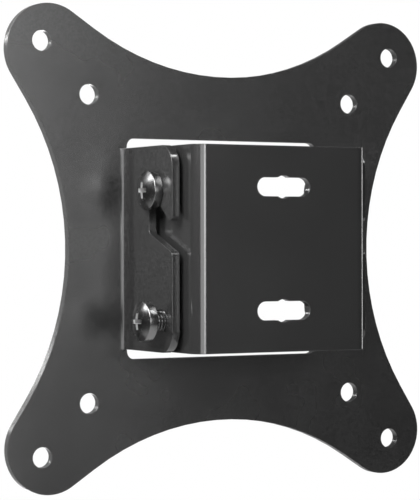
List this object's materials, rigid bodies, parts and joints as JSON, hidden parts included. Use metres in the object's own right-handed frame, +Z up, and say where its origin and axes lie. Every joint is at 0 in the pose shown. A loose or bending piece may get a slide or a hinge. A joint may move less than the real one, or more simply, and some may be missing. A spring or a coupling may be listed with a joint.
{
  "type": "tilting tv wall mount",
  "caption": "Black steel TV wall mount: an X-shaped screen plate with folded, hooked flanges hangs and tilts on a slotted U channel, held by pan head screws.",
  "frame": {"origin": "centre of the bracket's wall face, midway between the two wall slots", "axes": "+Y from the wall to the screen, +Z up, +X to the right seen from the wall"},
  "size_m": [0.1182, 0.0312, 0.1182],
  "materials": {
    "bracket_coat": "satin black powder coat on steel sheet",
    "plate_coat": "satin black powder coat on steel sheet",
    "screw_black": "bright black plating",
    "nut_black": "dull black plating"
  },
  "bodies": {
    "wall_bracket": {"wall_bracket": "bracket_coat", "pivot_nut_left": "nut_black", "pivot_nut_right": "nut_black", "clamp_nut": "nut_black"},
    "screen_plate": {"screen_plate": "plate_coat"},
    "pivot_screw_left": {"pivot_screw_left": "screw_black"},
    "pivot_screw_right": {"pivot_screw_right": "screw_black"},
    "clamp_screw": {"clamp_screw": "screw_black"}
  },
  "joints": [
    {"name": "screen_tilt", "type": "hinge", "parent": "wall_bracket", "child": "screen_plate", "pos_m": [0, 0.015, 0.014], "axis": [-1, 0, 0], "range_deg": [0, 10]},
    {"name": "pivot_screw_left_travel", "type": "slide", "parent": "wall_bracket", "child": "pivot_screw_left", "axis": [-1, 0, 0], "range_m": [0, 0.004]},
    {"name": "pivot_screw_right_travel", "type": "slide", "parent": "wall_bracket", "child": "pivot_screw_right", "axis": [1, 0, 0], "range_m": [0, 0.004]},
    {"name": "clamp_screw_travel", "type": "slide", "parent": "wall_bracket", "child": "clamp_screw", "axis": [1, 0, 0], "range_m": [0, 0.0032]}
  ]
}
